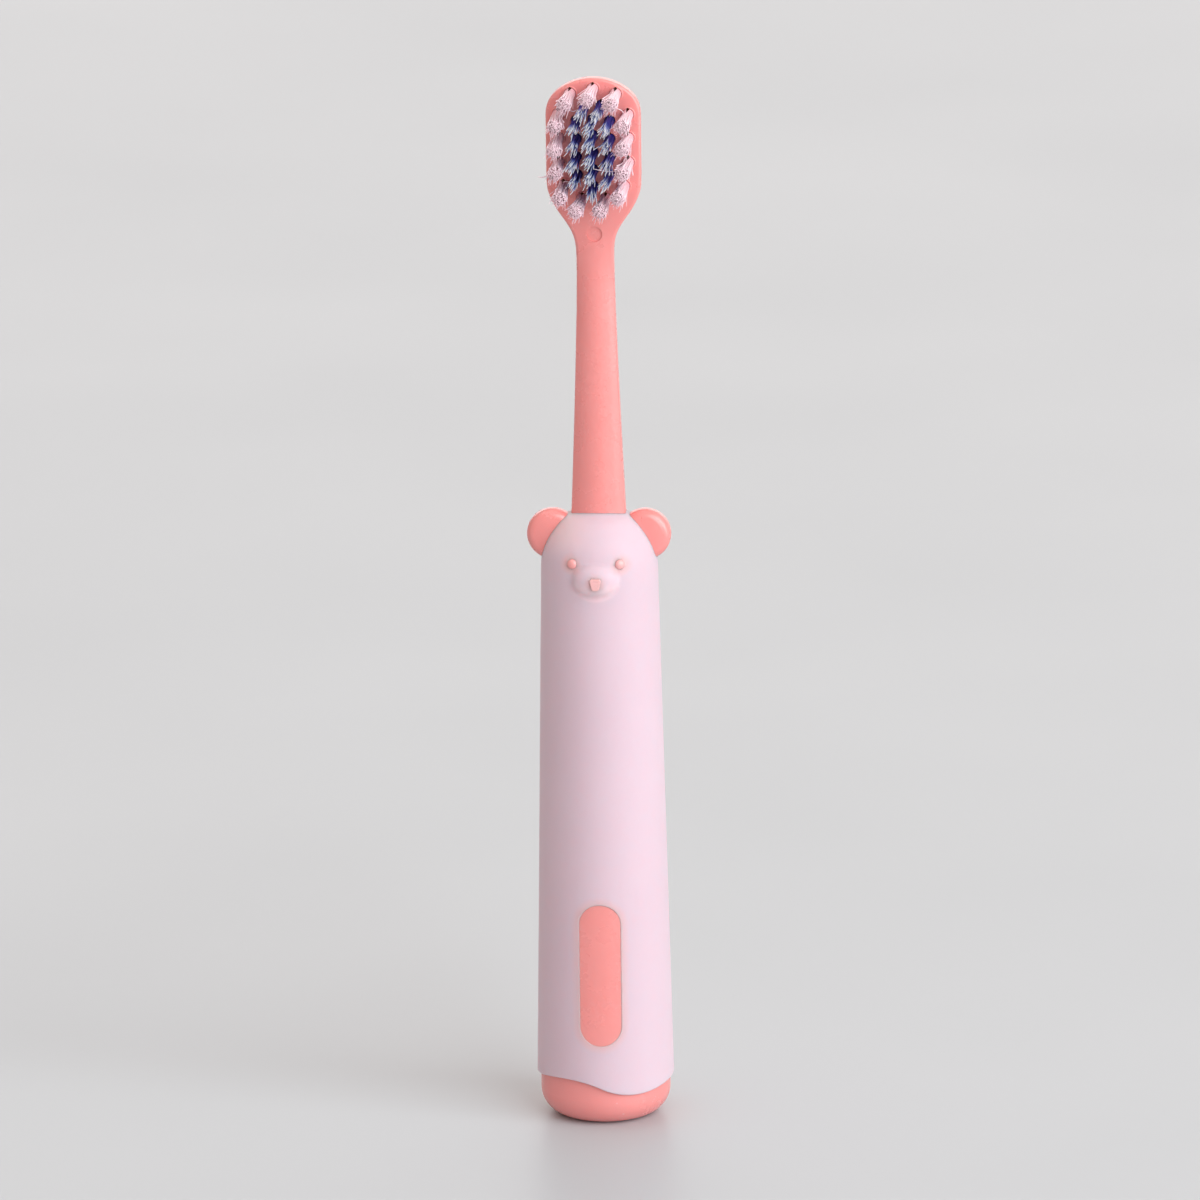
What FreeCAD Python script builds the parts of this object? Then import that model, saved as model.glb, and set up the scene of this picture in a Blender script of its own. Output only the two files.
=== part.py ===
import FreeCAD, Part
import math
import os
import Sketcher

# Children's manual toothbrush that stands on its own foot.
# Frame: millimetres, +Z up along the handle, the brush face looks along -Y,
# the origin is the centre of the flat face that the foot stands on.

V = FreeCAD.Vector
doc = FreeCAD.newDocument("toothbrush")

# ----------------------------------------------------------------- sizes
SIZES = [
    # foot
    ("base_radius", 9.8), ("base_round", 4.0), ("base_floor", 2.4), ("seat_z", 3.2),
    ("cap_height", 9.0), ("spigot_radius", 6.88), ("spigot_wall", 1.3), ("spigot_top", 11.0),
    # wavy line where the sleeve meets the foot
    ("wave_mean", 6.25), ("wave_half", 10.6), ("wave_radius", 12.7),
    # sleeve
    ("sleeve_foot_z", 4.0), ("sleeve_foot_radius", 10.4), ("sleeve_top_radius", 8.78),
    ("dome_z", 85.4), ("sleeve_top_z", 94.25), ("sleeve_lip_radius", 2.9), ("sleeve_wall", 1.5),
    ("hem_round", 0.2), ("window_round", 0.12), ("muzzle_round", 0.9),
    # hollow handle tube
    ("core_dome_rise", 7.8), ("bore_radius", 7.05), ("bore_end_radius", 5.6), ("bore_end_z", 80.0),
    # muzzle, eyes, nose, ears
    ("muzzle_y", 8.0), ("muzzle_z", 85.15), ("muzzle_half_width", 3.5), ("muzzle_half_height", 2.6),
    ("muzzle_depth", 2.15),
    ("eye_z", 87.6), ("eye_angle", 24.8), ("eye_radius", 0.75), ("eye_reach", 8.66), ("eye_dome", 0.42),
    ("nose_z", 85.0), ("nose_top_width", 1.9), ("nose_low_width", 1.0), ("nose_height", 1.8),
    ("nose_reach", 10.4), ("nose_round", 0.35), ("nose_edge", 0.15),
    ("ear_x", 6.95), ("ear_z", 90.4), ("ear_radius", 3.88), ("ear_thickness", 3.8),
    ("ear_centre", 0.6), ("ear_face", 2.75), ("ear_crown", 0.2203), ("ear_crown_radius", 10.6),
    ("ear_rim_radius", 1.4175), ("ear_rim_flat", 0.2917),
    # oval window low on the front
    ("window_z", 24.0), ("window_height", 22.0), ("window_width", 6.2), ("window_recess", 0.06),
    # head plate
    ("head_half", 7.08), ("head_thickness", 4.6), ("head_join_z", 146.0), ("head_side_top_z", 155.2),
    ("head_shoulder_x", 5.43), ("head_shoulder_z", 158.74), ("head_shoulder_radius", 4.6),
    ("head_top_radius", 8.52), ("head_front_round", 0.45), ("head_back_round", 3.3),
    # tufts: outer ring and inner field
    ("outer_hole", 0.9), ("inner_hole", 0.8), ("hole_depth", 2.8), ("hole_gap", 0.02),
    ("outer_tip", 1.25), ("inner_tip", 0.95), ("outer_length", 9.4), ("inner_length", 9.4),
    ("tuft_depth", 2.7), ("tuft_fold", 0.35), ("tip_round", 0.25), ("rim_offset", 0.10), ("rim_radius", 0.16),
    # anchor plates
    ("anchor_thick", 0.26), ("anchor_outer_width", 2.05), ("anchor_inner_width", 1.85),
    ("anchor_height", 1.5), ("anchor_seat", 0.5), ("anchor_gap", 0.02),
    # gate mark on the front of the neck
    ("gate_z", 136.95), ("gate_radius", 1.18), ("gate_depth", 0.22),
]

# Cross-sections of the neck from the shoulder up to the head plate: height, width, depth,
# front corner radius, back corner radius, radius of the crowned front, radius of the crowned back.
NECK = [
    (84.0, 8.98, 6.2, 0.6, 1.6, 5.8, 9.0), (94.0, 8.11, 5.9, 0.6, 1.6, 5.2, 8.0),
    (104.0, 7.26, 5.6, 0.58, 1.6, 4.7, 7.0), (114.0, 6.5, 5.25, 0.56, 1.6, 4.25, 6.0),
    (124.0, 5.87, 4.95, 0.55, 1.6, 3.8, 5.5), (126.2, 5.77, 4.83, 0.55, 1.62, 3.75, 5.5),
    (128.4, 5.67, 4.73, 0.54, 1.66, 3.85, 5.8), (130.6, 5.59, 4.66, 0.53, 1.72, 4.3, 6.8),
    (132.8, 5.55, 4.62, 0.52, 1.85, 5.6, 10.0), (134.6, 5.65, 4.6, 0.5, 2.02, 8.5, 16.0),
    (136.2, 6.13, 4.6, 0.5, 2.24, 16.0, 35.0), (137.6, 7.19, 4.6, 0.48, 2.45, 38.0, 90.0),
    (139.0, 8.89, 4.6, 0.47, 2.66, 110.0, 220.0), (140.4, 10.82, 4.6, 0.46, 2.87, 300.0, 500.0),
    (141.8, 12.44, 4.6, 0.45, 3.05, 800.0, 1200.0), (143.2, 13.58, 4.6, 0.45, 3.19, 2000.0, 2500.0),
    (144.6, 14.06, 4.6, 0.45, 3.28, 4000.0, 4000.0), (146.0, 14.16, 4.6, 0.45, 3.3, 5000.0, 5000.0),
]
NECK_KEYS = "abcdefghijklmnopqr"
FLARE = 4   # section where the long even taper ends and the flare towards the head begins

# Outline of the sleeve between its foot and its crest round the neck (radius, height).
SKIN = [(10.002, 24.0), (9.604, 44.0), (9.206, 64.0), (8.93, 78.0), (8.83, 83.0), (8.76, 86.0),
        (8.50, 88.0), (7.76, 90.0), (6.60, 91.8), (5.65, 92.85), (4.95, 93.35), (4.3, 93.68), (3.6, 94.0)]
SKIN_KEYS = "abcdefghijklm"

# Tuft centres on the brush face (x, z).
OUTER = [(0.0, 159.15), (-3.4, 158.4), (3.4, 158.4), (-5.2, 155.25), (5.2, 155.25), (-5.2, 151.7),
         (5.2, 151.7), (-5.2, 148.0), (5.2, 148.0), (-4.5, 144.4), (4.5, 144.4), (-1.75, 142.4), (1.75, 142.4)]
INNER = [(-1.2, 156.65), (1.2, 156.65), (-2.5, 154.35), (0.0, 154.6), (2.5, 154.35), (-2.5, 151.6),
         (0.0, 152.1), (2.5, 151.6), (-2.5, 148.85), (0.0, 149.5), (2.5, 148.85), (-2.4, 146.1),
         (0.0, 146.9), (2.4, 146.1), (0.0, 144.35)]

sheet = doc.addObject("Spreadsheet::Sheet", "dims")
cells = list(SIZES)
for i, (zz, w, d, rf, rb, cf, cb) in enumerate(NECK):
    k = "neck%s_" % NECK_KEYS[i]
    cells += [(k + "z", zz), (k + "width", w), (k + "depth", d), (k + "front", rf), (k + "back", rb),
              (k + "crown", cf), (k + "spine", cb)]
for i, (r, zz) in enumerate(SKIN):
    k = "skin%s_" % SKIN_KEYS[i]
    cells += [(k + "r", r), (k + "z", zz)]
for name, field in (("outer", OUTER), ("inner", INNER)):
    for i, (x, z) in enumerate(field):
        cells += [("%s_%02d_x" % (name, i + 1), x), ("%s_%02d_z" % (name, i + 1), z)]
for row, (alias, value) in enumerate(cells, start=1):
    sheet.set("A%d" % row, alias)
    sheet.set("B%d" % row, repr(float(value)))
    sheet.setAlias("B%d" % row, alias)
doc.recompute()


class Size:
    """A length with the sheet expression that drives it."""

    def __init__(self, text, value):
        self.text, self.value = text, float(value)

    def _join(self, other, sign, result):
        return Size("(%s %s %s)" % (self.text, sign, size(other).text), result)

    def __add__(self, o):
        return self._join(o, "+", self.value + size(o).value)

    def __sub__(self, o):
        return self._join(o, "-", self.value - size(o).value)

    def __mul__(self, o):
        return self._join(o, "*", self.value * size(o).value)

    def __truediv__(self, o):
        return self._join(o, "/", self.value / size(o).value)

    def __neg__(self):
        return size(0.0) - self


def size(a):
    return a if isinstance(a, Size) else Size(repr(float(a)), a)


def root(a):
    return Size("sqrt(%s)" % a.text, math.sqrt(a.value))


def cell(alias):
    return Size("dims." + alias, sheet.get(alias))


def drive(obj, prop, a):
    obj.setExpression(prop, size(a).text)


# ----------------------------------------------------------------- sketch helpers
def origin_item(body, role):
    for item in body.Origin.OriginFeatures:
        if item.Role == role:
            return item


def new_body(label):
    body = doc.addObject("PartDesign::Body", label)
    body.Label = label
    return body


def new_sketch(body, role, name, lift=None):
    sk = body.newObject("Sketcher::SketchObject", name)
    sk.AttachmentSupport = [(origin_item(body, role), "")]
    sk.MapMode = "FlatFace"
    if lift is not None:
        sk.AttachmentOffset = FreeCAD.Placement(V(0, 0, lift.value), FreeCAD.Rotation())
        drive(sk, "AttachmentOffset.Base.z", lift)
    return sk


def fix(sk, geo, pos, axis, a):
    """Hold one coordinate of a sketch point to its size."""
    a = size(a)
    if abs(a.value) < 1e-9:
        sk.addConstraint(Sketcher.Constraint("PointOnObject", geo, pos, -2 if axis == "X" else -1))
    elif a.value > 0:
        c = sk.addConstraint(Sketcher.Constraint("Distance" + axis, -1, 1, geo, pos, a.value))
        drive(sk, "Constraints[%d]" % c, a)
    else:
        c = sk.addConstraint(Sketcher.Constraint("Distance" + axis, geo, pos, -1, 1, -a.value))
        drive(sk, "Constraints[%d]" % c, -a)


def outline(sk, points, arcs=None):
    """Closed outline through points; arcs maps a segment number to (radius, +1 left turn or -1 right turn)."""
    arcs = arcs or {}
    n = len(points)
    ends = []
    for i in range(n):
        p = V(size(points[i][0]).value, size(points[i][1]).value, 0)
        q = V(size(points[(i + 1) % n][0]).value, size(points[(i + 1) % n][1]).value, 0)
        if i in arcs:
            radius, turn = arcs[i]
            chord = q.sub(p)
            half = chord.Length / 2.0
            off = math.sqrt(max(size(radius).value ** 2 - half ** 2, 0.0))
            side = V(-chord.y, chord.x, 0).normalize() * (off * turn)
            centre = (p + q) * 0.5 + side
            a0 = math.atan2(p.y - centre.y, p.x - centre.x)
            a1 = math.atan2(q.y - centre.y, q.x - centre.x)
            if turn < 0:
                a0, a1 = a1, a0
            if a1 <= a0:
                a1 += 2 * math.pi
            g = sk.addGeometry(Part.ArcOfCircle(Part.Circle(centre, V(0, 0, 1), size(radius).value), a0, a1), False)
            ends.append((g, 1, 2) if turn > 0 else (g, 2, 1))
        else:
            g = sk.addGeometry(Part.LineSegment(p, q), False)
            ends.append((g, 1, 2))
    for i in range(n):
        sk.addConstraint(Sketcher.Constraint("Coincident", ends[i][0], ends[i][2],
                                             ends[(i + 1) % n][0], ends[(i + 1) % n][1]))
    for i in range(n):
        fix(sk, ends[i][0], ends[i][1], "X", points[i][0])
        fix(sk, ends[i][0], ends[i][1], "Y", points[i][1])
    for i in sorted(arcs):
        c = sk.addConstraint(Sketcher.Constraint("Radius", ends[i][0], size(arcs[i][0]).value))
        drive(sk, "Constraints[%d]" % c, arcs[i][0])


def revolve(body, sk, name):
    f = body.newObject("PartDesign::Revolution", name)
    f.Profile = sk
    f.ReferenceAxis = (sk, ["V_Axis"])
    f.Angle = 360.0
    return f


def pad(body, sk, name, length, both=False):
    f = body.newObject("PartDesign::Pad", name)
    f.Profile = sk
    drive(f, "Length", length)
    if both:
        f.SideType = "Symmetric"
    return f


def edges_where(shape, test):
    names = []
    for i, e in enumerate(shape.Edges):
        mid = e.valueAt((e.FirstParameter + e.LastParameter) / 2.0)
        if test(e, mid):
            names.append("Edge%d" % (i + 1))
    return names


def fillet(body, base, names, name, radius):
    f = body.newObject("PartDesign::Fillet", name)
    f.Base = (base, names)
    drive(f, "Radius", radius)
    return f


def fused(label, items):
    f = doc.addObject("Part::MultiFuse", label)
    f.Label = label
    f.Shapes = items
    f.Refine = True
    return f


def cut(label, base, tool):
    f = doc.addObject("Part::Cut", label)
    f.Label = label
    f.Base = base
    f.Tool = tool
    f.Refine = True
    return f


def common(label, items):
    f = doc.addObject("Part::MultiCommon", label)
    f.Label = label
    f.Shapes = items
    f.Refine = True
    return f


def cone(label, r1, r2, z, height):
    f = doc.addObject("Part::Cone", label)
    drive(f, "Radius1", r1)
    drive(f, "Radius2", r2)
    drive(f, "Height", height)
    drive(f, "Placement.Base.z", z)
    return f


def ellipsoid(label, rz, rx, ry, upper=False):
    f = doc.addObject("Part::Ellipsoid", label)
    drive(f, "Radius1", rz)
    drive(f, "Radius2", rx)
    drive(f, "Radius3", ry)
    f.Angle1 = 0.0 if upper else -90.0
    f.Angle2 = 90.0
    return f


# ----------------------------------------------------------------- wavy split line
half_head = cell("head_thickness") / 2.0
wave_body = new_body("wave_block")
sk = new_sketch(wave_body, "XZ_Plane", "wave_sketch")
wh, wm = cell("wave_half"), cell("wave_mean")
outline(sk, [(-wh, size(-1.0)), (wh, size(-1.0)), (wh, wm), (size(0.0), wm), (-wh, wm)],
        {2: (cell("wave_radius"), -1), 3: (cell("wave_radius"), +1)})
pad(wave_body, sk, "wave_pad", size(26.0), both=True)

# ----------------------------------------------------------------- foot
cup = new_body("foot_cup")
sk = new_sketch(cup, "XZ_Plane", "foot_profile")
tube_seat = cell("sleeve_foot_radius") - cell("sleeve_wall") + 0.03
outline(sk, [(size(0.0), size(0.0)), (cell("base_radius"), size(0.0)), (cell("base_radius"), cell("cap_height")),
             (tube_seat, cell("cap_height")), (tube_seat, cell("seat_z")), (size(0.0), cell("seat_z"))])
foot_turn = revolve(cup, sk, "foot_turn")
doc.recompute()
fillet(cup, foot_turn, edges_where(foot_turn.Shape, lambda e, m: abs(m.z) < 1e-6 and e.Curve.TypeId == "Part::GeomCircle"),
       "foot_round", cell("base_round"))
foot_trim = common("foot_trim", [cup, wave_body])

spigot = new_body("foot_spigot")
sk = new_sketch(spigot, "XZ_Plane", "spigot_profile")
bore_in = cell("spigot_radius") - cell("spigot_wall")
outline(sk, [(bore_in, cell("base_floor")), (cell("spigot_radius"), cell("base_floor")),
             (cell("spigot_radius"), cell("spigot_top") - 0.5), (cell("spigot_radius") - 0.4, cell("spigot_top")),
             (bore_in, cell("spigot_top"))])
revolve(spigot, sk, "spigot_turn")
base_cap = fused("base_cap", [foot_trim, spigot])

# ----------------------------------------------------------------- head plate
head = new_body("head_plate")
sk = new_sketch(head, "XZ_Plane", "head_outline")
hh, sx = cell("head_half"), cell("head_shoulder_x")
outline(sk, [(-hh, cell("head_join_z")), (hh, cell("head_join_z")), (hh, cell("head_side_top_z")),
             (sx, cell("head_shoulder_z")), (-sx, cell("head_shoulder_z")), (-hh, cell("head_side_top_z"))],
        {2: (cell("head_shoulder_radius"), +1), 3: (cell("head_top_radius"), +1), 4: (cell("head_shoulder_radius"), +1)})
head_pad = pad(head, sk, "head_pad", cell("head_thickness"), both=True)
doc.recompute()
join = sheet.get("head_join_z")
front = edges_where(head_pad.Shape, lambda e, m: abs(m.y + half_head.value) < 1e-6 and m.z > join + 0.01)
f1 = fillet(head, head_pad, front, "head_front_edge", cell("head_front_round"))
doc.recompute()
rear = edges_where(f1.Shape, lambda e, m: abs(m.y - half_head.value) < 1e-6 and m.z > join + 0.01)
fillet(head, f1, rear, "head_back_edge", cell("head_back_round"))

# ----------------------------------------------------------------- neck, blended from the handle to the head
neck = new_body("neck")


def crown_side(hw, hd, corner, crown):
    """Where a crowned face meets its corner arc, and where that arc meets the flat side."""
    xc, reach = hw - corner, crown - corner
    rise = root(reach * reach - xc * xc)
    return xc * crown / reach, crown - hd - rise * crown / reach, crown - hd - rise


for stage, first, last in (("shaft", 0, FLARE), ("flare", FLARE, len(NECK) - 1)):
    sections = []
    for i in range(first, last + 1):
        k = "neck%s_" % NECK_KEYS[i]
        hw, hd = cell(k + "width") / 2.0, cell(k + "depth") / 2.0
        fx, fy, fside = crown_side(hw, hd, cell(k + "front"), cell(k + "crown"))
        bx, by, bside = crown_side(hw, hd, cell(k + "back"), cell(k + "spine"))
        sk = new_sketch(neck, "XY_Plane", "%s_section_%02d" % (stage, i + 1), cell(k + "z"))
        outline(sk, [(-fx, fy), (fx, fy), (hw, fside), (hw, -bside), (bx, -by), (-bx, -by), (-hw, -bside), (-hw, fside)],
                {0: (cell(k + "crown"), +1), 1: (cell(k + "front"), +1), 3: (cell(k + "back"), +1),
                 4: (cell(k + "spine"), +1), 5: (cell(k + "back"), +1), 7: (cell(k + "front"), +1)})
        sections.append(sk)
    loft = neck.newObject("PartDesign::AdditiveLoft", "neck_" + stage)
    loft.Profile = sections[0]
    loft.Sections = sections[1:]
    loft.Ruled = False
    doc.recompute()

# ----------------------------------------------------------------- handle tube, ears, eyes, nose, window
wall = cell("sleeve_wall")
core_cone = cone("core_cone", cell("sleeve_foot_radius") - wall, cell("sleeve_top_radius") - wall,
                 cell("sleeve_foot_z"), cell("dome_z") - cell("sleeve_foot_z"))
core_foot = doc.addObject("Part::Cylinder", "core_foot")
drive(core_foot, "Radius", cell("sleeve_foot_radius") - wall)
drive(core_foot, "Height", cell("sleeve_foot_z") - cell("seat_z"))
drive(core_foot, "Placement.Base.z", cell("seat_z"))
core_dome = ellipsoid("core_dome", cell("core_dome_rise"), cell("sleeve_top_radius") - wall,
                      cell("sleeve_top_radius") - wall, upper=True)
drive(core_dome, "Placement.Base.z", cell("dome_z"))

upright = FreeCAD.Rotation(V(1, 0, 0), 90)
ears = []
for side, name in ((-1.0, "left"), (1.0, "right")):
    ear = new_body("ear_" + name)
    sk = new_sketch(ear, "XZ_Plane", "ear_profile_" + name)
    et = cell("ear_thickness") / 2.0
    ef, er = et - cell("ear_crown"), cell("ear_rim_flat")
    outline(sk, [(size(0.0), -et), (cell("ear_centre"), -et), (cell("ear_face"), -ef), (cell("ear_radius"), -er),
                 (cell("ear_radius"), er), (cell("ear_face"), ef), (cell("ear_centre"), et), (size(0.0), et)],
            {1: (cell("ear_crown_radius"), +1), 2: (cell("ear_rim_radius"), +1),
             4: (cell("ear_rim_radius"), +1), 5: (cell("ear_crown_radius"), +1)})
    revolve(ear, sk, "ear_disc_" + name)
    ear.Placement = FreeCAD.Placement(V(side * sheet.get("ear_x"), 0, sheet.get("ear_z")), upright)
    drive(ear, "Placement.Base.x", cell("ear_x") * side)
    drive(ear, "Placement.Base.z", cell("ear_z"))
    ears.append(ear)

eyes = []
for side, name in ((-1.0, "left"), (1.0, "right")):
    turn = math.radians(sheet.get("eye_angle")) * side
    d = V(math.sin(turn), -math.cos(turn), 0)
    spin = FreeCAD.Rotation(V(0, 0, 1), d)
    peg = doc.addObject("Part::Cylinder", "eye_peg_" + name)
    drive(peg, "Radius", cell("eye_radius"))
    drive(peg, "Height", cell("eye_reach") - 5.0)
    peg.Placement = FreeCAD.Placement(V(0, 0, sheet.get("eye_z")) + d * 5.0, spin)
    bead = ellipsoid("eye_bead_" + name, cell("eye_dome"), cell("eye_radius"), cell("eye_radius"))
    bead.Placement = FreeCAD.Placement(V(0, 0, sheet.get("eye_z")) + d * sheet.get("eye_reach"), spin)
    eyes += [peg, bead]

nose = new_body("nose_stud")
sk = new_sketch(nose, "XZ_Plane", "nose_outline")
nt, nl = cell("nose_top_width") / 2.0, cell("nose_low_width") / 2.0
n_up, n_dn = cell("nose_z") + cell("nose_height") / 2.0, cell("nose_z") - cell("nose_height") / 2.0
outline(sk, [(-nl, n_dn), (nl, n_dn), (nt, n_up), (-nt, n_up)])
nose_pad = pad(nose, sk, "nose_pad", cell("nose_reach"))
doc.recompute()
reach = sheet.get("nose_reach")
f1 = fillet(nose, nose_pad, edges_where(nose_pad.Shape, lambda e, m: 0.01 < -m.y < reach - 0.01),
            "nose_corners", cell("nose_round"))
doc.recompute()
fillet(nose, f1, edges_where(f1.Shape, lambda e, m: abs(m.y + reach) < 1e-6), "nose_rim", cell("nose_edge"))

window = new_body("window_prism")
sk = new_sketch(window, "XZ_Plane", "window_outline")
ww = cell("window_width") / 2.0
w_up = cell("window_z") + cell("window_height") / 2.0 - ww
w_dn = cell("window_z") - cell("window_height") / 2.0 + ww
outline(sk, [(ww, w_dn), (ww, w_up), (size(0.0), w_up + ww), (-ww, w_up), (-ww, w_dn), (size(0.0), w_dn - ww)],
        {1: (ww, +1), 2: (ww, +1), 4: (ww, +1), 5: (ww, +1)})
pad(window, sk, "window_pad", size(12.0))
boss_cone = cone("boss_cone", cell("sleeve_foot_radius") - cell("window_recess"),
                 cell("sleeve_top_radius") - cell("window_recess"),
                 cell("sleeve_foot_z"), cell("dome_z") - cell("sleeve_foot_z"))
boss = common("window_boss", [window, boss_cone])

core_outer = fused("core_outer", [core_cone, core_foot, core_dome, neck, head, boss, nose] + ears + eyes)

# thin raised rim round each tuft hole
tuft_plan = ([("outer", i + 1) for i in range(len(OUTER))] + [("inner", i + 1) for i in range(len(INNER))])
rims = []
for kind, i in tuft_plan:
    ring = doc.addObject("Part::Torus", "rim_%s_%02d" % (kind, i))
    drive(ring, "Radius1", cell(kind + "_hole") + cell("rim_offset"))
    drive(ring, "Radius2", cell("rim_radius"))
    ring.Placement = FreeCAD.Placement(V(0, 0, 0), upright)
    drive(ring, "Placement.Base.x", cell("%s_%02d_x" % (kind, i)))
    drive(ring, "Placement.Base.y", cell("rim_radius") / 3.0 - half_head)
    drive(ring, "Placement.Base.z", cell("%s_%02d_z" % (kind, i)))
    rims.append(ring)
core_rimmed = fused("core_rimmed", [core_outer] + rims)

# hollow of the handle, tuft holes, anchor slots, gate mark
bore = cone("bore", cell("bore_radius"), cell("bore_end_radius"), cell("seat_z") - 0.2,
            cell("bore_end_z") - cell("seat_z") + 0.2)
holes = []
face = FreeCAD.Rotation(V(1, 0, 0), -90)
for kind, i in tuft_plan:
    x, z = cell("%s_%02d_x" % (kind, i)), cell("%s_%02d_z" % (kind, i))
    h = doc.addObject("Part::Cylinder", "hole_%s_%02d" % (kind, i))
    drive(h, "Radius", cell(kind + "_hole"))
    drive(h, "Height", cell("hole_depth") + 0.5)
    h.Placement = FreeCAD.Placement(V(x.value, -half_head.value - 0.5, z.value), face)
    drive(h, "Placement.Base.x", x)
    drive(h, "Placement.Base.y", -half_head - 0.5)
    drive(h, "Placement.Base.z", z)
    s = doc.addObject("Part::Box", "slot_%s_%02d" % (kind, i))
    thick = cell("anchor_thick") + cell("anchor_gap")
    width = cell("anchor_%s_width" % kind) + cell("anchor_gap")
    drive(s, "Length", thick)
    drive(s, "Height", width)
    drive(s, "Width", cell("tuft_depth") - cell("anchor_seat") + 0.5 + cell("anchor_gap"))
    drive(s, "Placement.Base.x", x - thick / 2.0)
    drive(s, "Placement.Base.y", -half_head - 0.5)
    drive(s, "Placement.Base.z", z - width / 2.0)
    holes += [h, s]
gate = doc.addObject("Part::Cylinder", "gate_mark")
drive(gate, "Radius", cell("gate_radius"))
drive(gate, "Height", cell("gate_depth") + 1.0)
gate.Placement = FreeCAD.Placement(V(0, -half_head.value - 1.0, sheet.get("gate_z")), face)
drive(gate, "Placement.Base.y", -half_head - 1.0)
drive(gate, "Placement.Base.z", cell("gate_z"))
hollows = doc.addObject("Part::Compound", "core_hollows")
hollows.Links = [bore, gate] + holes
doc.recompute()
brush_core = cut("brush_core", core_rimmed, hollows)

# ----------------------------------------------------------------- soft sleeve
skin = new_body("skin")
sk = new_sketch(skin, "XZ_Plane", "skin_profile")
foot_r, foot_z = cell("sleeve_foot_radius"), cell("sleeve_foot_z")
lip_r, lip_z = cell("sleeve_lip_radius"), cell("sleeve_top_z")
through = [(foot_r.value, foot_z.value)]
through += [(sheet.get("skin%s_r" % a), sheet.get("skin%s_z" % a)) for a in SKIN_KEYS]
through += [(lip_r.value, lip_z.value)]
curve = Part.BSplineCurve()
curve.interpolate([V(r, z, 0) for r, z in through])
g0 = sk.addGeometry(curve, False)
g1 = sk.addGeometry(Part.LineSegment(V(lip_r.value, lip_z.value, 0), V(0, lip_z.value, 0)), False)
g2 = sk.addGeometry(Part.LineSegment(V(0, lip_z.value, 0), V(0, foot_z.value, 0)), False)
g3 = sk.addGeometry(Part.LineSegment(V(0, foot_z.value, 0), V(foot_r.value, foot_z.value, 0)), False)
for a, b in ((g0, g1), (g1, g2), (g2, g3), (g3, g0)):
    sk.addConstraint(Sketcher.Constraint("Coincident", a, 2, b, 1))
for g, x, z in ((g0, foot_r, foot_z), (g1, lip_r, lip_z), (g2, size(0.0), lip_z), (g3, size(0.0), foot_z)):
    fix(sk, g, 1, "X", x)
    fix(sk, g, 1, "Y", z)
revolve(skin, sk, "skin_turn")
muzzle = skin.newObject("PartDesign::AdditiveEllipsoid", "muzzle")
drive(muzzle, "Radius1", cell("muzzle_half_height"))
drive(muzzle, "Radius2", cell("muzzle_half_width"))
drive(muzzle, "Radius3", cell("muzzle_depth"))
drive(muzzle, "Placement.Base.y", -cell("muzzle_y"))
drive(muzzle, "Placement.Base.z", cell("muzzle_z"))
doc.recompute()


def spans(e, x, z_low, z_high, y_high=99.0):
    b = e.BoundBox
    return b.XMax - b.XMin > x and b.ZMin > z_low and b.ZMax < z_high and b.YMax < y_high


f1 = fillet(skin, muzzle, edges_where(muzzle.Shape, lambda e, m: spans(e, 3.0, 81.0, 89.0, -6.0)),
            "muzzle_blend", cell("muzzle_round"))
doc.recompute()

# wavy lower edge
sk = new_sketch(skin, "XZ_Plane", "skin_wave")
outline(sk, [(-wh, size(-1.0)), (wh, size(-1.0)), (wh, wm), (size(0.0), wm), (-wh, wm)],
        {2: (cell("wave_radius"), -1), 3: (cell("wave_radius"), +1)})
hem = skin.newObject("PartDesign::Pocket", "skin_hem")
hem.Profile = sk
hem.Type = "Length"
hem.SideType = "Symmetric"
drive(hem, "Length", size(26.0))
doc.recompute()
low = wm.value + 2.0
f3 = fillet(skin, hem, edges_where(hem.Shape, lambda e, m: m.z < low and math.hypot(m.x, m.y) > foot_r.value - 0.4),
            "hem_edge", cell("hem_round"))
doc.recompute()

# opening over the window
sk = new_sketch(skin, "XZ_Plane", "skin_window")
outline(sk, [(ww, w_dn), (ww, w_up), (size(0.0), w_up + ww), (-ww, w_up), (-ww, w_dn), (size(0.0), w_dn - ww)],
        {1: (ww, +1), 2: (ww, +1), 4: (ww, +1), 5: (ww, +1)})
gap = skin.newObject("PartDesign::Pocket", "skin_opening")
gap.Profile = sk
gap.Type = "Length"
drive(gap, "Length", size(12.0))
gap.Reversed = True
doc.recompute()
w_lo, w_hi = cell("window_z").value - 12.0, cell("window_z").value + 12.0
f4 = fillet(skin, gap, edges_where(gap.Shape, lambda e, m: w_lo < m.z < w_hi and m.y < -8.0 and abs(m.x) < 4.0),
            "window_edge", cell("window_round"))
doc.recompute()
grip_sleeve = cut("grip_sleeve", skin, core_outer)

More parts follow.
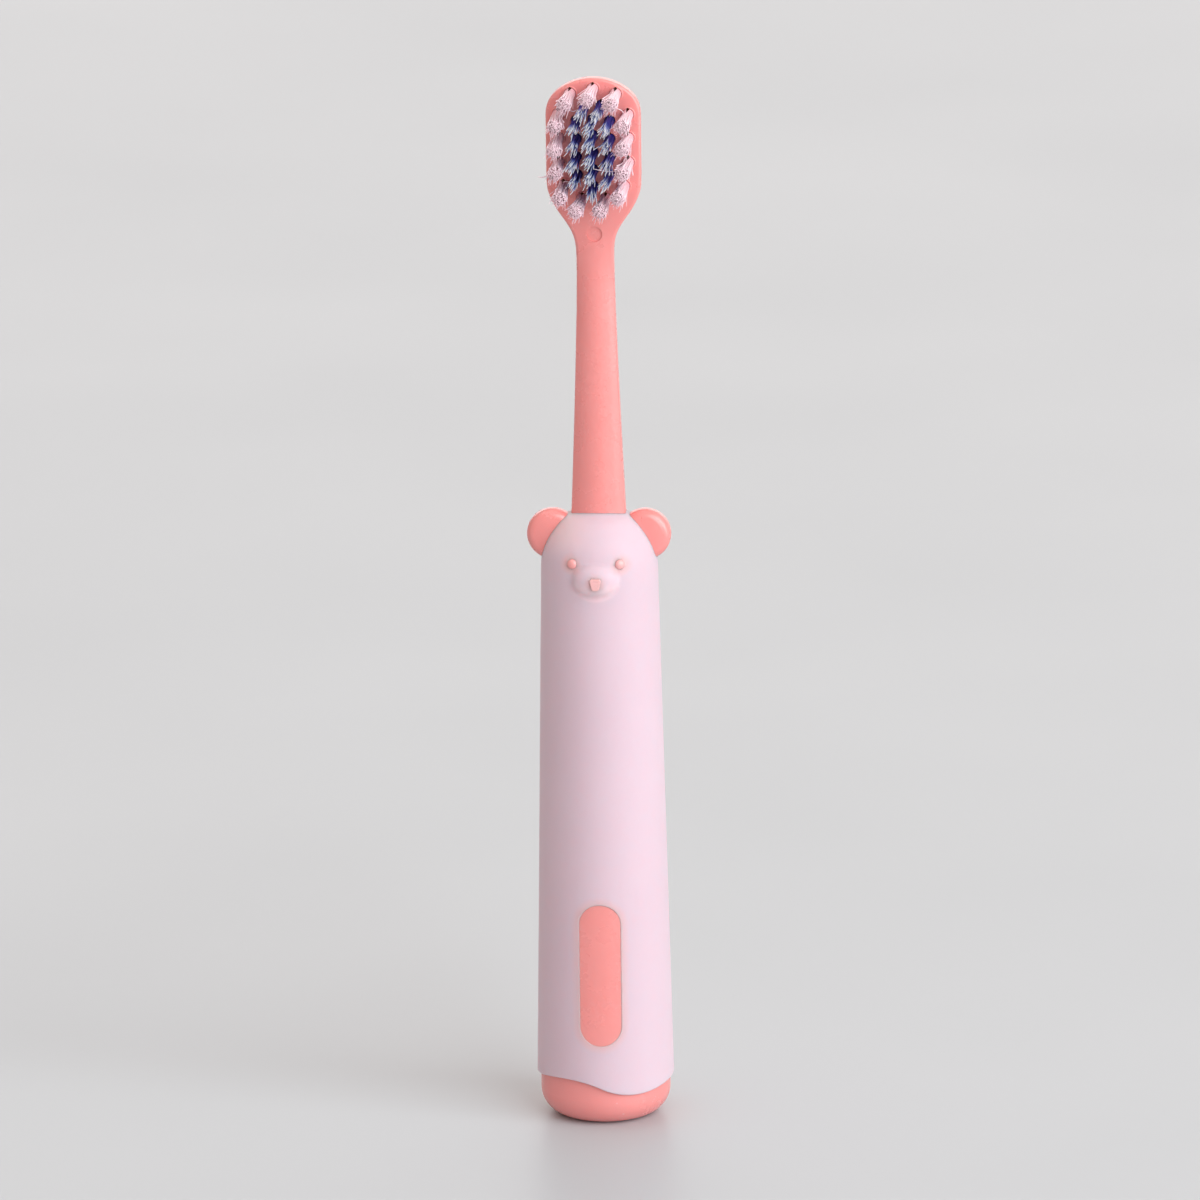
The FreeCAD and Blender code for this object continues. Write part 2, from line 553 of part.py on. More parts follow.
# ----------------------------------------------------------------- tufts and anchors
tufts, plates = [], []
for kind, i in tuft_plan:
    label = "%s_tuft_%02d" % (kind, i)
    x, z = cell("%s_%02d_x" % (kind, i)), cell("%s_%02d_z" % (kind, i))
    tuft = new_body(label)
    sk = new_sketch(tuft, "XZ_Plane", label + "_profile")
    r_in = cell(kind + "_hole") - cell("hole_gap")
    r_tip, run = cell(kind + "_tip"), cell(kind + "_length")
    deep, fold, tip = cell("tuft_depth"), cell("tuft_fold"), cell("tip_round")
    outline(sk, [(size(0.0), -deep), (r_in - fold, -deep), (r_in, fold - deep), (r_in, size(0.0)),
                 (r_tip, run - tip), (r_tip - tip, run), (size(0.0), run)])
    revolve(tuft, sk, label + "_turn")
    slot = new_sketch(tuft, "XZ_Plane", label + "_slot")
    st = cell("anchor_thick") / 2.0 + cell("anchor_gap")
    low = cell("anchor_seat") - deep
    high = low + cell("anchor_height") + cell("anchor_gap")
    outline(slot, [(-st, low - cell("anchor_gap")), (st, low - cell("anchor_gap")), (st, high), (-st, high)])
    pk = tuft.newObject("PartDesign::Pocket", label + "_fold")
    pk.Profile = slot
    pk.Type = "Length"
    pk.SideType = "Symmetric"
    drive(pk, "Length", size(6.0))
    tuft.Placement = FreeCAD.Placement(V(x.value, -half_head.value, z.value), upright)
    drive(tuft, "Placement.Base.x", x)
    drive(tuft, "Placement.Base.y", -half_head)
    drive(tuft, "Placement.Base.z", z)
    tufts.append(tuft)

    plate = doc.addObject("Part::Box", "anchor_%s_%02d" % (kind, i))
    width = cell("anchor_%s_width" % kind)
    drive(plate, "Length", cell("anchor_thick"))
    drive(plate, "Height", width)
    drive(plate, "Width", cell("anchor_height"))
    drive(plate, "Placement.Base.x", x - cell("anchor_thick") / 2.0)
    drive(plate, "Placement.Base.y", deep - half_head - cell("anchor_seat") - cell("anchor_height"))
    drive(plate, "Placement.Base.z", z - width / 2.0)
    plates.append(plate)
tuft_anchors = doc.addObject("Part::Compound", "tuft_anchors")
tuft_anchors.Label = "tuft_anchors"
tuft_anchors.Links = plates

doc.recompute()

# ----------------------------------------------------------------- check and write
parts = [brush_core, grip_sleeve, base_cap] + tufts + [tuft_anchors]
for obj in doc.Objects:
    if "Invalid" in obj.State or "Error" in obj.State:
        raise RuntimeError("%s failed: %s" % (obj.Label, obj.State))
for obj in parts:
    if obj.Shape.isNull() or not obj.Shape.isValid():
        raise RuntimeError("%s has no valid shape" % obj.Label)

os.makedirs("parts", exist_ok=True)
for obj in parts:
    obj.Shape.exportStep("parts/%s.step" % obj.Label)
    if not obj.Label.startswith(("outer", "inner")):
        bb = obj.Shape.BoundBox
        print(obj.Label, "solids", len(obj.Shape.Solids), "volume %.1f" % obj.Shape.Volume,
              "x %.2f..%.2f y %.2f..%.2f z %.2f..%.2f" % (bb.XMin, bb.XMax, bb.YMin, bb.YMax, bb.ZMin, bb.ZMax))
print("tufts", len(tufts), "volume %.2f" % sum(t.Shape.Volume for t in tufts),
      "solids", sum(len(t.Shape.Solids) for t in tufts))
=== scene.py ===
import math
import random

import bpy
import numpy as np
from mathutils import Matrix, Vector


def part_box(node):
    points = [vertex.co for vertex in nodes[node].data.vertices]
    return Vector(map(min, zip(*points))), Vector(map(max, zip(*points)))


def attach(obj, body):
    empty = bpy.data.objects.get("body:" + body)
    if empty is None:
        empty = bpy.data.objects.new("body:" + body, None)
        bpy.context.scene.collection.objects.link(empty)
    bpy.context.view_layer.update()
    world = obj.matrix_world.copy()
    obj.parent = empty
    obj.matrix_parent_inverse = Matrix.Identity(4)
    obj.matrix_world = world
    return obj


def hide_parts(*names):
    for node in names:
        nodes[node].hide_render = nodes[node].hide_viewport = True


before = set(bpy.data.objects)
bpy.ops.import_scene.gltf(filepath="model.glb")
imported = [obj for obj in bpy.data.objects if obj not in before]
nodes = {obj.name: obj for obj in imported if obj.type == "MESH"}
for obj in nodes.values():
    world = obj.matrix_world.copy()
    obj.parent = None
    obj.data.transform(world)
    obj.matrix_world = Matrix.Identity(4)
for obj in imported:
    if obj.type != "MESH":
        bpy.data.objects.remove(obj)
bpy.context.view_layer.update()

MM = 0.001
scene = bpy.context.scene


# ------------------------------------------------------------------ shader helpers
class Tree:
    """Small builder for one material's node tree."""

    def __init__(self, name):
        self.mat = bpy.data.materials.new(name)
        self.mat.use_nodes = True
        self.nt = self.mat.node_tree
        self.nt.nodes.clear()
        self.out = self.nt.nodes.new("ShaderNodeOutputMaterial")
        self.bsdf = self.nt.nodes.new("ShaderNodeBsdfPrincipled")
        self.link(self.bsdf.outputs[0], self.out.inputs[0])
        self.coord = None

    def link(self, a, b):
        self.nt.links.new(a, b)

    def put(self, socket, value):
        if isinstance(value, bpy.types.NodeSocket):
            self.link(value, socket)
        elif value is not None:
            socket.default_value = value

    def set(self, **values):
        for key, value in values.items():
            self.put(self.bsdf.inputs[key.replace("_", " ")], value)

    def obj(self):
        """Position on the object, in metres."""
        if self.coord is None:
            self.coord = self.nt.nodes.new("ShaderNodeTexCoord")
        return self.coord.outputs["Object"]

    def xyz(self):
        n = self.nt.nodes.new("ShaderNodeSeparateXYZ")
        self.link(self.obj(), n.inputs[0])
        return n.outputs[0], n.outputs[1], n.outputs[2]

    def stretch(self, sx, sy, sz):
        n = self.nt.nodes.new("ShaderNodeMapping")
        n.inputs["Scale"].default_value = (sx, sy, sz)
        self.link(self.obj(), n.inputs[0])
        return n.outputs[0]

    def noise(self, scale, detail=3.0, rough=0.5, vector=None):
        n = self.nt.nodes.new("ShaderNodeTexNoise")
        n.inputs["Scale"].default_value = scale
        n.inputs["Detail"].default_value = detail
        n.inputs["Roughness"].default_value = rough
        self.link(vector or self.obj(), n.inputs["Vector"])
        return n.outputs[0]

    def cells(self, scale):
        n = self.nt.nodes.new("ShaderNodeTexVoronoi")
        n.inputs["Scale"].default_value = scale
        self.link(self.obj(), n.inputs["Vector"])
        return n.outputs["Distance"]

    def math(self, op, a, b=None, c=None, clamp=False):
        n = self.nt.nodes.new("ShaderNodeMath")
        n.operation = op
        n.use_clamp = clamp
        self.put(n.inputs[0], a)
        self.put(n.inputs[1], b)
        self.put(n.inputs[2], c)
        return n.outputs[0]

    def fade(self, value, a, b, lo=0.0, hi=1.0, kind="SMOOTHSTEP"):
        n = self.nt.nodes.new("ShaderNodeMapRange")
        n.interpolation_type = kind
        self.put(n.inputs["Value"], value)
        n.inputs["From Min"].default_value = a
        n.inputs["From Max"].default_value = b
        n.inputs["To Min"].default_value = lo
        n.inputs["To Max"].default_value = hi
        return n.outputs[0]

    def ramp(self, value, stops, kind="LINEAR"):
        n = self.nt.nodes.new("ShaderNodeValToRGB")
        n.color_ramp.interpolation = kind
        els = n.color_ramp.elements
        while len(els) < len(stops):
            els.new(0.5)
        for e, (p, c) in zip(els, stops):
            e.position = p
            e.color = (*c, 1.0)
        self.link(value, n.inputs[0])
        return n.outputs[0]

    def mix(self, factor, a, b, mode="MIX"):
        n = self.nt.nodes.new("ShaderNodeMix")
        n.data_type = "RGBA"
        n.blend_type = mode
        self.put(n.inputs[0], factor)
        for i, v in ((6, a), (7, b)):
            self.put(n.inputs[i], (*v, 1.0) if isinstance(v, tuple) else v)
        return n.outputs[2]

    def bump(self, height, strength, distance, after=None):
        n = self.nt.nodes.new("ShaderNodeBump")
        n.inputs["Strength"].default_value = strength
        n.inputs["Distance"].default_value = distance
        self.link(height, n.inputs["Height"])
        if after is not None:
            self.link(after, n.inputs["Normal"])
        return n.outputs[0]

    def attr(self, name):
        n = self.nt.nodes.new("ShaderNodeAttribute")
        n.attribute_name = name
        return n.outputs["Fac"]

    def dot_distance(self, x, z, cx, cz, back=False):
        """Distance in metres from a point on the front, measured across the front."""
        dx = self.math("SUBTRACT", x, cx)
        dz = self.math("SUBTRACT", z, cz)
        return self.math("SQRT", self.math("ADD", self.math("MULTIPLY", dx, dx), self.math("MULTIPLY", dz, dz)))


# ------------------------------------------------------------------ materials
def coral_plastic(name, dark, light, rough, speck=0.0, face=False):
    t = Tree(name)
    cloud = t.noise(70.0, 4.0, 0.55)
    flow = t.noise(320.0, 3.0, 0.6, t.stretch(1.0, 1.0, 0.18))
    tone = t.math("ADD", t.math("MULTIPLY", cloud, 0.7), t.math("MULTIPLY", flow, 0.3))
    colour = t.ramp(tone, [(0.30, dark), (0.70, light)])
    fine = t.noise(5200.0, 2.0, 0.5)
    if speck > 0.0:
        # small pale specks scattered at random over the plastic
        speck_dots = t.fade(t.cells(420.0), 0.10, 0.03)
        pick = t.fade(t.noise(150.0, 1.0, 0.5), 0.56, 0.64)
        colour = t.mix(t.math("MULTIPLY", t.math("MULTIPLY", speck_dots, pick), speck), colour, (0.95, 0.62, 0.60))
    if face:
        # eyes and nose are paled towards pale pink: partly the soft sleeve filming over them, the nose most; the eye on
        # the lit side is paled more than the other, a painted highlight
        x, y, z = t.xyz()
        band = t.math("MULTIPLY", t.fade(z, 0.0832, 0.0836), t.fade(z, 0.0890, 0.0886))
        band = t.math("MULTIPLY", band, t.fade(y, -0.0070, -0.0074))
        film_and_highlight = t.math("MAXIMUM", t.fade(t.math("ABSOLUTE", x), 0.0020, 0.0014, 0.0, 0.72), t.fade(x, -0.0010, 0.0030, 0.32, 0.62))
        colour = t.mix(t.math("MULTIPLY", band, film_and_highlight), colour, (0.94, 0.58, 0.58))
    t.set(Base_Color=colour, Roughness=t.fade(t.noise(180.0, 4.0, 0.6), 0.3, 0.7, rough - 0.02, rough + 0.03, "LINEAR"),
          Normal=t.bump(fine, 0.02, 0.00001))
    t.bsdf.inputs["Subsurface Weight"].default_value = 0.30
    t.bsdf.inputs["Subsurface Radius"].default_value = (1.0, 0.36, 0.30)
    t.bsdf.inputs["Subsurface Scale"].default_value = 0.0010
    t.bsdf.inputs["IOR"].default_value = 1.50
    t.bsdf.inputs["Specular IOR Level"].default_value = 0.85
    return t.mat


def sleeve_rubber():
    t = Tree("pale_pink_sleeve")
    x, y, z = t.xyz()
    cloud = t.noise(45.0, 4.0, 0.55)
    colour = t.ramp(cloud, [(0.30, (0.728, 0.554, 0.625)), (0.70, (0.748, 0.576, 0.648))])
    # painted light: the left shoulder of the dome, towards one ear, is lightened and warmed to stand in for light from
    # above and warm bounce from the coral ear
    painted_dome_light = t.math("MULTIPLY", t.fade(z, 0.0875, 0.0920), t.fade(x, 0.0005, -0.0055))
    colour = t.mix(t.math("MULTIPLY", painted_dome_light, 0.65), colour, (0.93, 0.67, 0.69))
    # the coral core shows faintly through the sleeve where it thins out round its openings
    over = t.math("MAXIMUM", t.math("SUBTRACT", t.math("ABSOLUTE", t.math("SUBTRACT", z, 0.0240)), 0.0079), 0.0)
    away = t.math("SUBTRACT", t.math("SQRT", t.math("ADD", t.math("MULTIPLY", x, x), t.math("MULTIPLY", over, over))),
                  0.0031)
    front = t.fade(y, -0.004, -0.006)
    window = t.math("MULTIPLY", t.fade(away, 0.0015, -0.0002), front)
    eye_r = t.math("MULTIPLY", t.fade(t.dot_distance(x, z, 0.00373, 0.0875), 0.0019, 0.0007), front)
    eye_l = t.math("MULTIPLY", t.fade(t.dot_distance(x, z, -0.00373, 0.0875), 0.0019, 0.0007), front)
    nose = t.math("MULTIPLY", t.fade(t.dot_distance(x, z, 0.0, 0.0850), 0.0019, 0.0007), front)
    thin = t.math("MAXIMUM", t.math("MAXIMUM", window, nose), t.math("MAXIMUM", eye_l, eye_r))
    colour = t.mix(t.math("MULTIPLY", thin, 0.72), colour, (0.92, 0.50, 0.50))
    # painted light and shade: the crease under the muzzle is lightened and tinted warm pink, standing in for its soft
    # warm shade
    mx, mz = t.math("DIVIDE", x, 0.0037), t.math("DIVIDE", t.math("SUBTRACT", z, 0.08495), 0.0030)
    ring = t.math("SQRT", t.math("ADD", t.math("MULTIPLY", mx, mx), t.math("MULTIPLY", mz, mz)))
    painted_muzzle_underlight = t.math("MULTIPLY", t.fade(ring, 0.22, 0.50), t.fade(ring, 1.10, 0.78))
    painted_muzzle_underlight = t.math("MULTIPLY", t.math("MULTIPLY", painted_muzzle_underlight, t.fade(z, 0.0856, 0.0840)), front)
    colour = t.mix(t.math("MULTIPLY", painted_muzzle_underlight, 0.85), colour, (0.97, 0.68, 0.73))
    grain = t.noise(7000.0, 2.0, 0.55)
    soft = t.noise(420.0, 3.0, 0.5)
    n1 = t.bump(soft, 0.10, 0.00010)
    n2 = t.bump(grain, 0.14, 0.000012, n1)
    t.set(Base_Color=colour, Roughness=t.fade(t.noise(110.0, 4.0, 0.6), 0.3, 0.7, 0.50, 0.60, "LINEAR"), Normal=n2)
    t.bsdf.inputs["Subsurface Weight"].default_value = 0.75
    t.bsdf.inputs["Subsurface Radius"].default_value = (1.0, 0.55, 0.55)
    t.bsdf.inputs["Subsurface Scale"].default_value = 0.0022
    t.bsdf.inputs["IOR"].default_value = 1.45
    t.bsdf.inputs["Specular IOR Level"].default_value = 0.38
    t.bsdf.inputs["Sheen Weight"].default_value = 0.06
    t.bsdf.inputs["Sheen Roughness"].default_value = 0.45
    return t.mat


def bristle(name, stops, rough):
    t = Tree(name)
    along, tint = t.attr("along"), t.attr("tint")
    colour = t.ramp(along, stops)
    shade = t.ramp(tint, [(0.0, (0.94, 0.92, 0.93)), (0.5, (1.0, 1.0, 1.0)), (1.0, (1.0, 1.0, 1.0))])
    colour = t.mix(0.8, colour, shade, "MULTIPLY")
    t.set(Base_Color=colour, Roughness=t.fade(tint, 0.0, 1.0, rough - 0.06, rough + 0.08, "LINEAR"))
    t.bsdf.inputs["Specular IOR Level"].default_value = 0.10
    t.put(t.bsdf.inputs["Sheen Tint"], colour)
    t.bsdf.inputs["Sheen Weight"].default_value = 0.9
    t.bsdf.inputs["Sheen Roughness"].default_value = 0.5
    return t.mat


def anchor_brass():
    t = Tree("anchor_brass")
    colour = t.ramp(t.noise(900.0, 3.0, 0.6), [(0.3, (0.20, 0.085, 0.05)), (0.7, (0.28, 0.125, 0.07))])
    t.set(Base_Color=colour, Roughness=t.fade(t.noise(2600.0, 2.0, 0.5), 0.3, 0.7, 0.28, 0.42, "LINEAR"))
    t.bsdf.inputs["Metallic"].default_value = 1.0
    return t.mat


def studio_floor():
    t = Tree("studio_floor")
    colour = t.ramp(t.noise(3.0, 3.0, 0.5), [(0.3, (0.496, 0.524, 0.544)), (0.7, (0.504, 0.532, 0.552))])
    t.set(Base_Color=colour, Roughness=t.fade(t.noise(9.0, 2.0, 0.5), 0.3, 0.7, 0.40, 0.44, "LINEAR"))
    t.bsdf.inputs["Specular IOR Level"].default_value = 0.25
    return t.mat


CORAL = coral_plastic("coral_plastic", (0.895, 0.292, 0.274), (0.925, 0.316, 0.299), 0.27, face=True)
CORAL_FOOT = coral_plastic("coral_plastic_foot", (0.895, 0.292, 0.274), (0.925, 0.316, 0.299), 0.25, speck=0.8)
SLEEVE = sleeve_rubber()
# colour from root to tip: the blue filaments are blue with white tips; both ramps also run darker towards the root,
# painted shade deep in the tuft
PINK = bristle("pink_bristle", [(0.0, (1.0, 0.60, 0.66)), (0.40, (1.0, 0.74, 0.80)), (1.0, (1.0, 0.80, 0.86))], 0.40)
BLUE = bristle("blue_bristle", [(0.0, (0.026, 0.032, 0.27)), (0.54, (0.050, 0.072, 0.44)), (0.68, (0.28, 0.37, 0.80)),
                                (0.82, (0.84, 0.89, 0.98)), (1.0, (0.98, 0.98, 0.99))], 0.36)
BRASS = anchor_brass()
FLOOR = studio_floor()


def dress(node, mat):
    mesh = nodes[node].data
    mesh.materials.clear()
    mesh.materials.append(mat)


dress("brush_core", CORAL)
dress("grip_sleeve", SLEEVE)
dress("base_cap", CORAL_FOOT)
dress("tuft_anchors", BRASS)


# ------------------------------------------------------------------ tufts of single filaments
FACE_Y = -2.3          # brush face, mm
SIDES = 6


def half_disc(radius, x_min, step):
    """Filament centres packed in the half of a hole to one side of its anchor plate."""
    pts = []
    rows = int(2 * radius / (step * 0.866)) + 2
    for j in range(-rows, rows + 1):
        for i in range(0, rows + 1):
            px = x_min + (i + (0.5 if j % 2 else 0.0)) * step
            pz = j * step * 0.866
            if math.hypot(px, pz) <= radius:
                pts.append((px, pz))
    return pts


def tube_mesh(name, paths, radii, along, tint):
    """Round tubes with rounded ends along equal-length paths (strand, point, xyz), in mm."""
    P = np.asarray(paths, float)
    S, K, _ = P.shape
    T = np.gradient(P, axis=1)
    T /= np.linalg.norm(T, axis=2, keepdims=True)
    N = np.zeros_like(P)
    ref = np.tile(np.array([0.0, 0.0, 1.0]), (S, 1))
    for k in range(K):
        ref = ref - (ref * T[:, k]).sum(1, keepdims=True) * T[:, k]
        ref /= np.linalg.norm(ref, axis=1, keepdims=True)
        N[:, k] = ref
    B = np.cross(T, N)
    ang = np.arange(SIDES) * 2 * math.pi / SIDES
    R = np.asarray(radii, float)[:, :, None, None]
    ring = P[:, :, None, :] + R * (np.cos(ang)[None, None, :, None] * N[:, :, None, :]
                                   + np.sin(ang)[None, None, :, None] * B[:, :, None, :])
    verts = ring.reshape(S, K * SIDES, 3)
    tip_a = P[:, 0] - T[:, 0] * np.asarray(radii)[:, 0, None] * 0.7
    tip_b = P[:, -1] + T[:, -1] * np.asarray(radii)[:, -1, None] * 0.7
    verts = np.concatenate([verts, tip_a[:, None], tip_b[:, None]], axis=1)
    per = K * SIDES + 2
    k, s = np.meshgrid(np.arange(K - 1), np.arange(SIDES), indexing="ij")
    a = k * SIDES + s
    b = k * SIDES + (s + 1) % SIDES
    quad = np.stack([a, b, b + SIDES, a + SIDES], -1).reshape(-1, 4)
    s = np.arange(SIDES)
    fan_a = np.stack([np.full(SIDES, per - 2), (s + 1) % SIDES, s], -1)
    fan_b = np.stack([np.full(SIDES, per - 1), (K - 1) * SIDES + s, (K - 1) * SIDES + (s + 1) % SIDES], -1)
    faces = []
    for i in range(S):
        off = i * per
        faces += (quad + off).tolist() + (fan_a + off).tolist() + (fan_b + off).tolist()
    mesh = bpy.data.meshes.new(name)
    mesh.from_pydata((verts.reshape(-1, 3) * MM).tolist(), [], faces)
    mesh.validate()
    mesh.polygons.foreach_set("use_smooth", [True] * len(mesh.polygons))
    A = np.asarray(along, float)
    A = np.concatenate([np.repeat(A, SIDES, axis=1), A[:, :1], A[:, -1:]], axis=1).reshape(-1)
    C = np.repeat(np.asarray(tint, float), per)
    mesh.attributes.new("along", "FLOAT", "POINT").data.foreach_set("value", A.astype(np.float32))
    mesh.attributes.new("tint", "FLOAT", "POINT").data.foreach_set("value", C.astype(np.float32))
    mesh.update()
    obj = bpy.data.objects.new(name, mesh)
    scene.collection.objects.link(obj)
    return obj


KINDS = {
    # hole radius, filament radius, tip radius of the tuft, slit half width, length, shortest and longest end,
    # splay, how much a filament swells, where its taper starts, what is left of it at the end, spacing in the hole,
    # share of filaments that stick out and how much more they splay, how much shorter the rim is than the middle,
    # share of filaments that stay thin, stand a little proud and droop to one side
    "outer": dict(hole=0.88, r=0.055, tip=1.14, slit=0.22, length=9.3, short=0.25, long=0.10, splay=0.06, swell=1.80,
                  thin=0.95, end=0.60, pack=0.72, wild=(0.10, 4.5), dome=0.95, fine=0.30),
    "inner": dict(hole=0.78, r=0.088, tip=0.90, slit=0.14, length=9.4, short=2.4, long=0.45, splay=0.19, swell=1.05,
                  thin=0.60, end=0.30, pack=1.05, wild=(0.05, 3.2), dome=0.0, fine=0.0),
}
STEPS = [0.0, 0.06, 0.16, 0.30, 0.46, 0.62, 0.78, 0.90, 0.97, 1.0]
LEAN = {"outer": -0.40, "inner": -0.32}      # the field has been brushed to one side, mm at the tip
LEAN_OF = {"outer_tuft_04": -0.05, "outer_tuft_06": -0.05, "outer_tuft_08": -0.02, "outer_tuft_10": -0.12,
           "inner_tuft_01": -0.20, "inner_tuft_11": -0.10, "inner_tuft_12": 0.0, "inner_tuft_13": -0.20,
           "inner_tuft_15": 0.20}
TRIM_OF = {"outer_tuft_01": 1.0, "outer_tuft_02": 0.4, "outer_tuft_03": 0.9}      # these ends stand back, mm
STRAYS = {
    "outer_tuft_09": [(3.57, -9.0, 147.92), (2.03, -9.4, 148.21), (0.49, -9.6, 148.64)],
    "outer_tuft_02": [(-3.0, -9.0, 156.84), (-2.42, -9.0, 157.09), (-1.78, -8.6, 157.39)],
    "outer_tuft_05": [(4.81, -5.0, 156.37), (4.35, -5.5, 156.71), (3.81, -6.0, 157.02)],
    "outer_tuft_08": [(-6.55, -9.5, 147.25), (-7.16, -10.2, 147.24), (-7.69, -10.8, 147.71)],
    "outer_tuft_10": [(-4.57, -5.0, 145.7), (-3.92, -6.0, 145.88), (-3.27, -7.0, 146.05)],
}


def stray_arm(root, marks):
    """A filament that has sprung out of its tuft: a smooth curve from its root through three points."""
    start = np.array(root)
    knots = np.array([start, start + (0.0, -2.0, 0.0)] + [np.array(m) for m in marks])
    span = np.concatenate([[0.0], np.cumsum(np.linalg.norm(np.diff(knots, axis=0), axis=1))])
    fine = np.linspace(0.0, span[-1], 200)
    line = np.stack([np.interp(fine, span, knots[:, a]) for a in range(3)], 1)
    ends = line[[0, -1]].copy()
    for _ in range(900):
        line[1:-1] += 0.5 * (0.5 * (line[:-2] + line[2:]) - line[1:-1])
        line[0], line[-1] = ends
    return [tuple(line[int(round(t * 199))]) for t in STEPS]


def tuft(node, kind, seed):
    k = KINDS[kind]
    rng = random.Random(seed)
    lo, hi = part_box(node)
    cx, cz = (lo.x + hi.x) / 2 / MM, (lo.z + hi.z) / 2 / MM
    r = k["r"]
    pack = half_disc(k["hole"] - r, k["slit"] + r, 2 * r * k["pack"])
    x_max = k["hole"] - r
    paths, radii, along, tint = [], [], [], []
    tilt = (rng.gauss(0, 0.06) + LEAN_OF.get(node, LEAN[kind]), rng.gauss(0, 0.08))
    full = k["length"] - TRIM_OF.get(node, 0.0)
    stray = STRAYS.get(node)
    for n, (px, pz) in enumerate(pack):
        sides = []
        fine = rng.random() < k["fine"]
        swell, thin, end = (1.0, 0.70, 0.40) if fine else (k["swell"], k["thin"], k["end"])
        if stray and n == len(pack) // 2:
            fine, swell, thin, end = False, 1.45, 0.86, 0.40
        depth = 0.42 + r + (px - k["slit"] - r) / (x_max - k["slit"] - r) * 0.34
        for sgn in (1.0, -1.0):
            rim = (((px - k["slit"] - r) / (x_max - k["slit"] - r)) ** 2 + (pz / x_max) ** 2) * k["dome"]
            length = full + k["long"] - rim - (k["short"] + k["long"]) * rng.random() ** 1.6
            splay = k["splay"] * (4.0 if fine else 1.0)
            ox, oz = rng.gauss(0, splay), rng.gauss(0, splay)
            if fine:
                length += rng.uniform(0.2, 0.9)
                oz -= rng.uniform(0.0, 0.75)
                ox -= rng.uniform(0.0, 0.30)
            elif rng.random() < k["wild"][0]:
                ox, oz = ox * k["wild"][1], oz * k["wild"][1]
            curl = (rng.gauss(0, 0.06), rng.gauss(0, 0.06))
            arm = []
            for t in STEPS:
                s = t ** 1.15
                gap = (k["slit"] + r) * max(0.0, 1.0 - t / 0.42) ** 1.3 + 0.4 * r * t
                fx = 1.0 + (k["tip"] / (x_max - k["slit"] - r) - 1.0) * s
                fz = 1.0 + (k["tip"] / x_max - 1.0) * s
                bx = sgn * (gap + (px - k["slit"] - r) * fx)
                bz = pz * fz
                bend = math.sin(math.pi * t)
                arm.append((cx + bx + (ox + tilt[0]) * t ** 1.6 + curl[0] * bend,
                            FACE_Y - length * t,
                            cz + bz + (oz + tilt[1]) * t ** 1.6 + curl[1] * bend))
            if stray and n == len(pack) // 2 and sgn * (stray[2][0] - cx) > 0:
                arm = stray_arm(arm[0], stray)
            sides.append(arm)
        floor = []
        for a in (0.0, 0.5, 1.0):
            floor.append((cx + px, FACE_Y + 0.9 + a * 0.9, cz + pz))
        for a in range(1, 6):
            w = math.pi * a / 6
            floor.append((cx + px * math.cos(w), FACE_Y + 1.8 + depth * math.sin(w), cz + pz))
        for a in (1.0, 0.5, 0.0):
            floor.append((cx - px, FACE_Y + 0.9 + a * 0.9, cz + pz))
        path = sides[0][::-1] + floor + sides[1]
        paths.append(path)
        prof = []
        for t in STEPS:
            f = 1.0 + (swell - 1.0) * min(1.0, t / 0.7)
            prof.append(r * f * (1.0 - (1.0 - end) * max(0.0, (t - thin) / (1.0 - thin)) ** 1.2))
        radii.append(prof[::-1] + [r] * len(floor) + prof)
        along.append(STEPS[::-1] + [0.0] * len(floor) + STEPS)
        tint.append(rng.random())
    obj = tube_mesh(node + "_filaments", paths, radii, along, tint)
    obj.data.materials.append(PINK if kind == "outer" else BLUE)
    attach(obj, "root")
    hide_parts(node)
    return obj


for i in range(1, 14):
    tuft("outer_tuft_%02d" % i, "outer", 100 + i)
for i in range(1, 16):
    tuft("inner_tuft_%02d" % i, "inner", 200 + i)


# ------------------------------------------------------------------ floor, camera, light
mesh = bpy.data.meshes.new("floor")
H = 6.0
mesh.from_pydata([(-H, -H, 0), (H, -H, 0), (H, H, 0), (-H, H, 0)], [], [(0, 1, 2, 3)])
floor_obj = bpy.data.objects.new("floor", mesh)
scene.collection.objects.link(floor_obj)
mesh.materials.append(FLOOR)

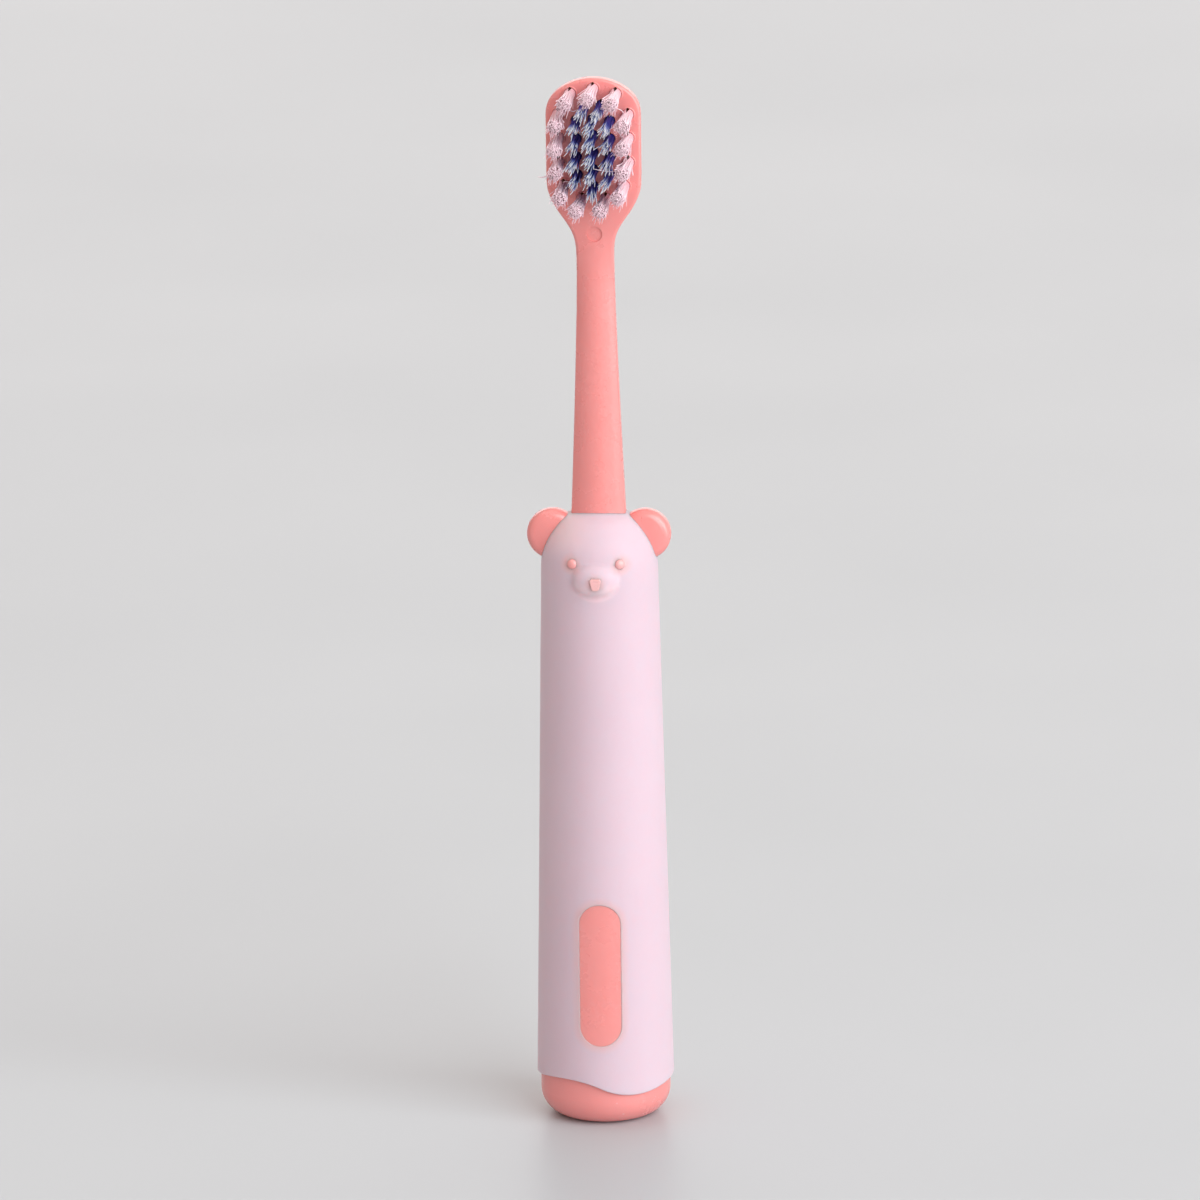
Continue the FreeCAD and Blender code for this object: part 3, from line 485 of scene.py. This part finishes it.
az, el, roll = math.radians(4.0), math.radians(15.0), math.radians(0.72)
back = Vector((math.sin(az) * math.cos(el), -math.cos(az) * math.cos(el), math.sin(el)))
right = Vector((math.cos(az), math.sin(az), 0.0))
up = back.cross(right)
r2 = math.cos(roll) * right - math.sin(roll) * up
u2 = math.sin(roll) * right + math.cos(roll) * up
cam = bpy.data.cameras.new("camera")
cam_obj = bpy.data.objects.new("camera", cam)
scene.collection.objects.link(cam_obj)
cam.sensor_width = 36.0
cam.lens = 379.6
cam.clip_end = 50.0
place = Vector((0, 0, 0.080)) + back * 1.9
cam_obj.matrix_world = Matrix(((r2.x, u2.x, back.x, place.x), (r2.y, u2.y, back.y, place.y),
                               (r2.z, u2.z, back.z, place.z), (0, 0, 0, 1)))
scene.camera = cam_obj

world = bpy.data.worlds.new("studio")
scene.world = world
world.use_nodes = True
world.node_tree.nodes["Background"].inputs[0].default_value = (1.0, 0.86, 0.80, 1.0)
world.node_tree.nodes["Background"].inputs[1].default_value = 0.57


def softbox(name, azimuth, elevation, distance, width, height, power, aim=(0, 0, 0.08), colour=(1, 1, 1)):
    a, e = math.radians(azimuth), math.radians(elevation)
    d = Vector((math.sin(a) * math.cos(e), -math.cos(a) * math.cos(e), math.sin(e)))
    lamp = bpy.data.lights.new(name, "AREA")
    lamp.shape = "RECTANGLE"
    lamp.size, lamp.size_y = width, height
    lamp.energy = power
    lamp.color = colour
    obj = bpy.data.objects.new(name, lamp)
    obj.location = Vector(aim) + d * distance
    obj.rotation_mode = "QUATERNION"
    obj.rotation_quaternion = d.to_track_quat("Z", "Y")
    scene.collection.objects.link(obj)
    return obj


softbox("key", 46.0, 29.0, 4.0, 4.0, 3.8, 162.0, colour=(0.92, 1.0, 1.04))
softbox("strip", 70.0, 8.0, 0.50, 0.14, 0.26, 0.30)
softbox("top", -95.0, 70.0, 3.0, 2.6, 2.6, 12.0, colour=(1.0, 0.98, 0.96))
softbox("backdrop", 180.0, 16.0, 2.4, 3.2, 1.2, 18.0)

scene.view_settings.view_transform = "Standard"
scene.view_settings.look = "None"
scene.view_settings.exposure = 0.0
scene.view_settings.gamma = 1.0

bpy.context.view_layer.update()
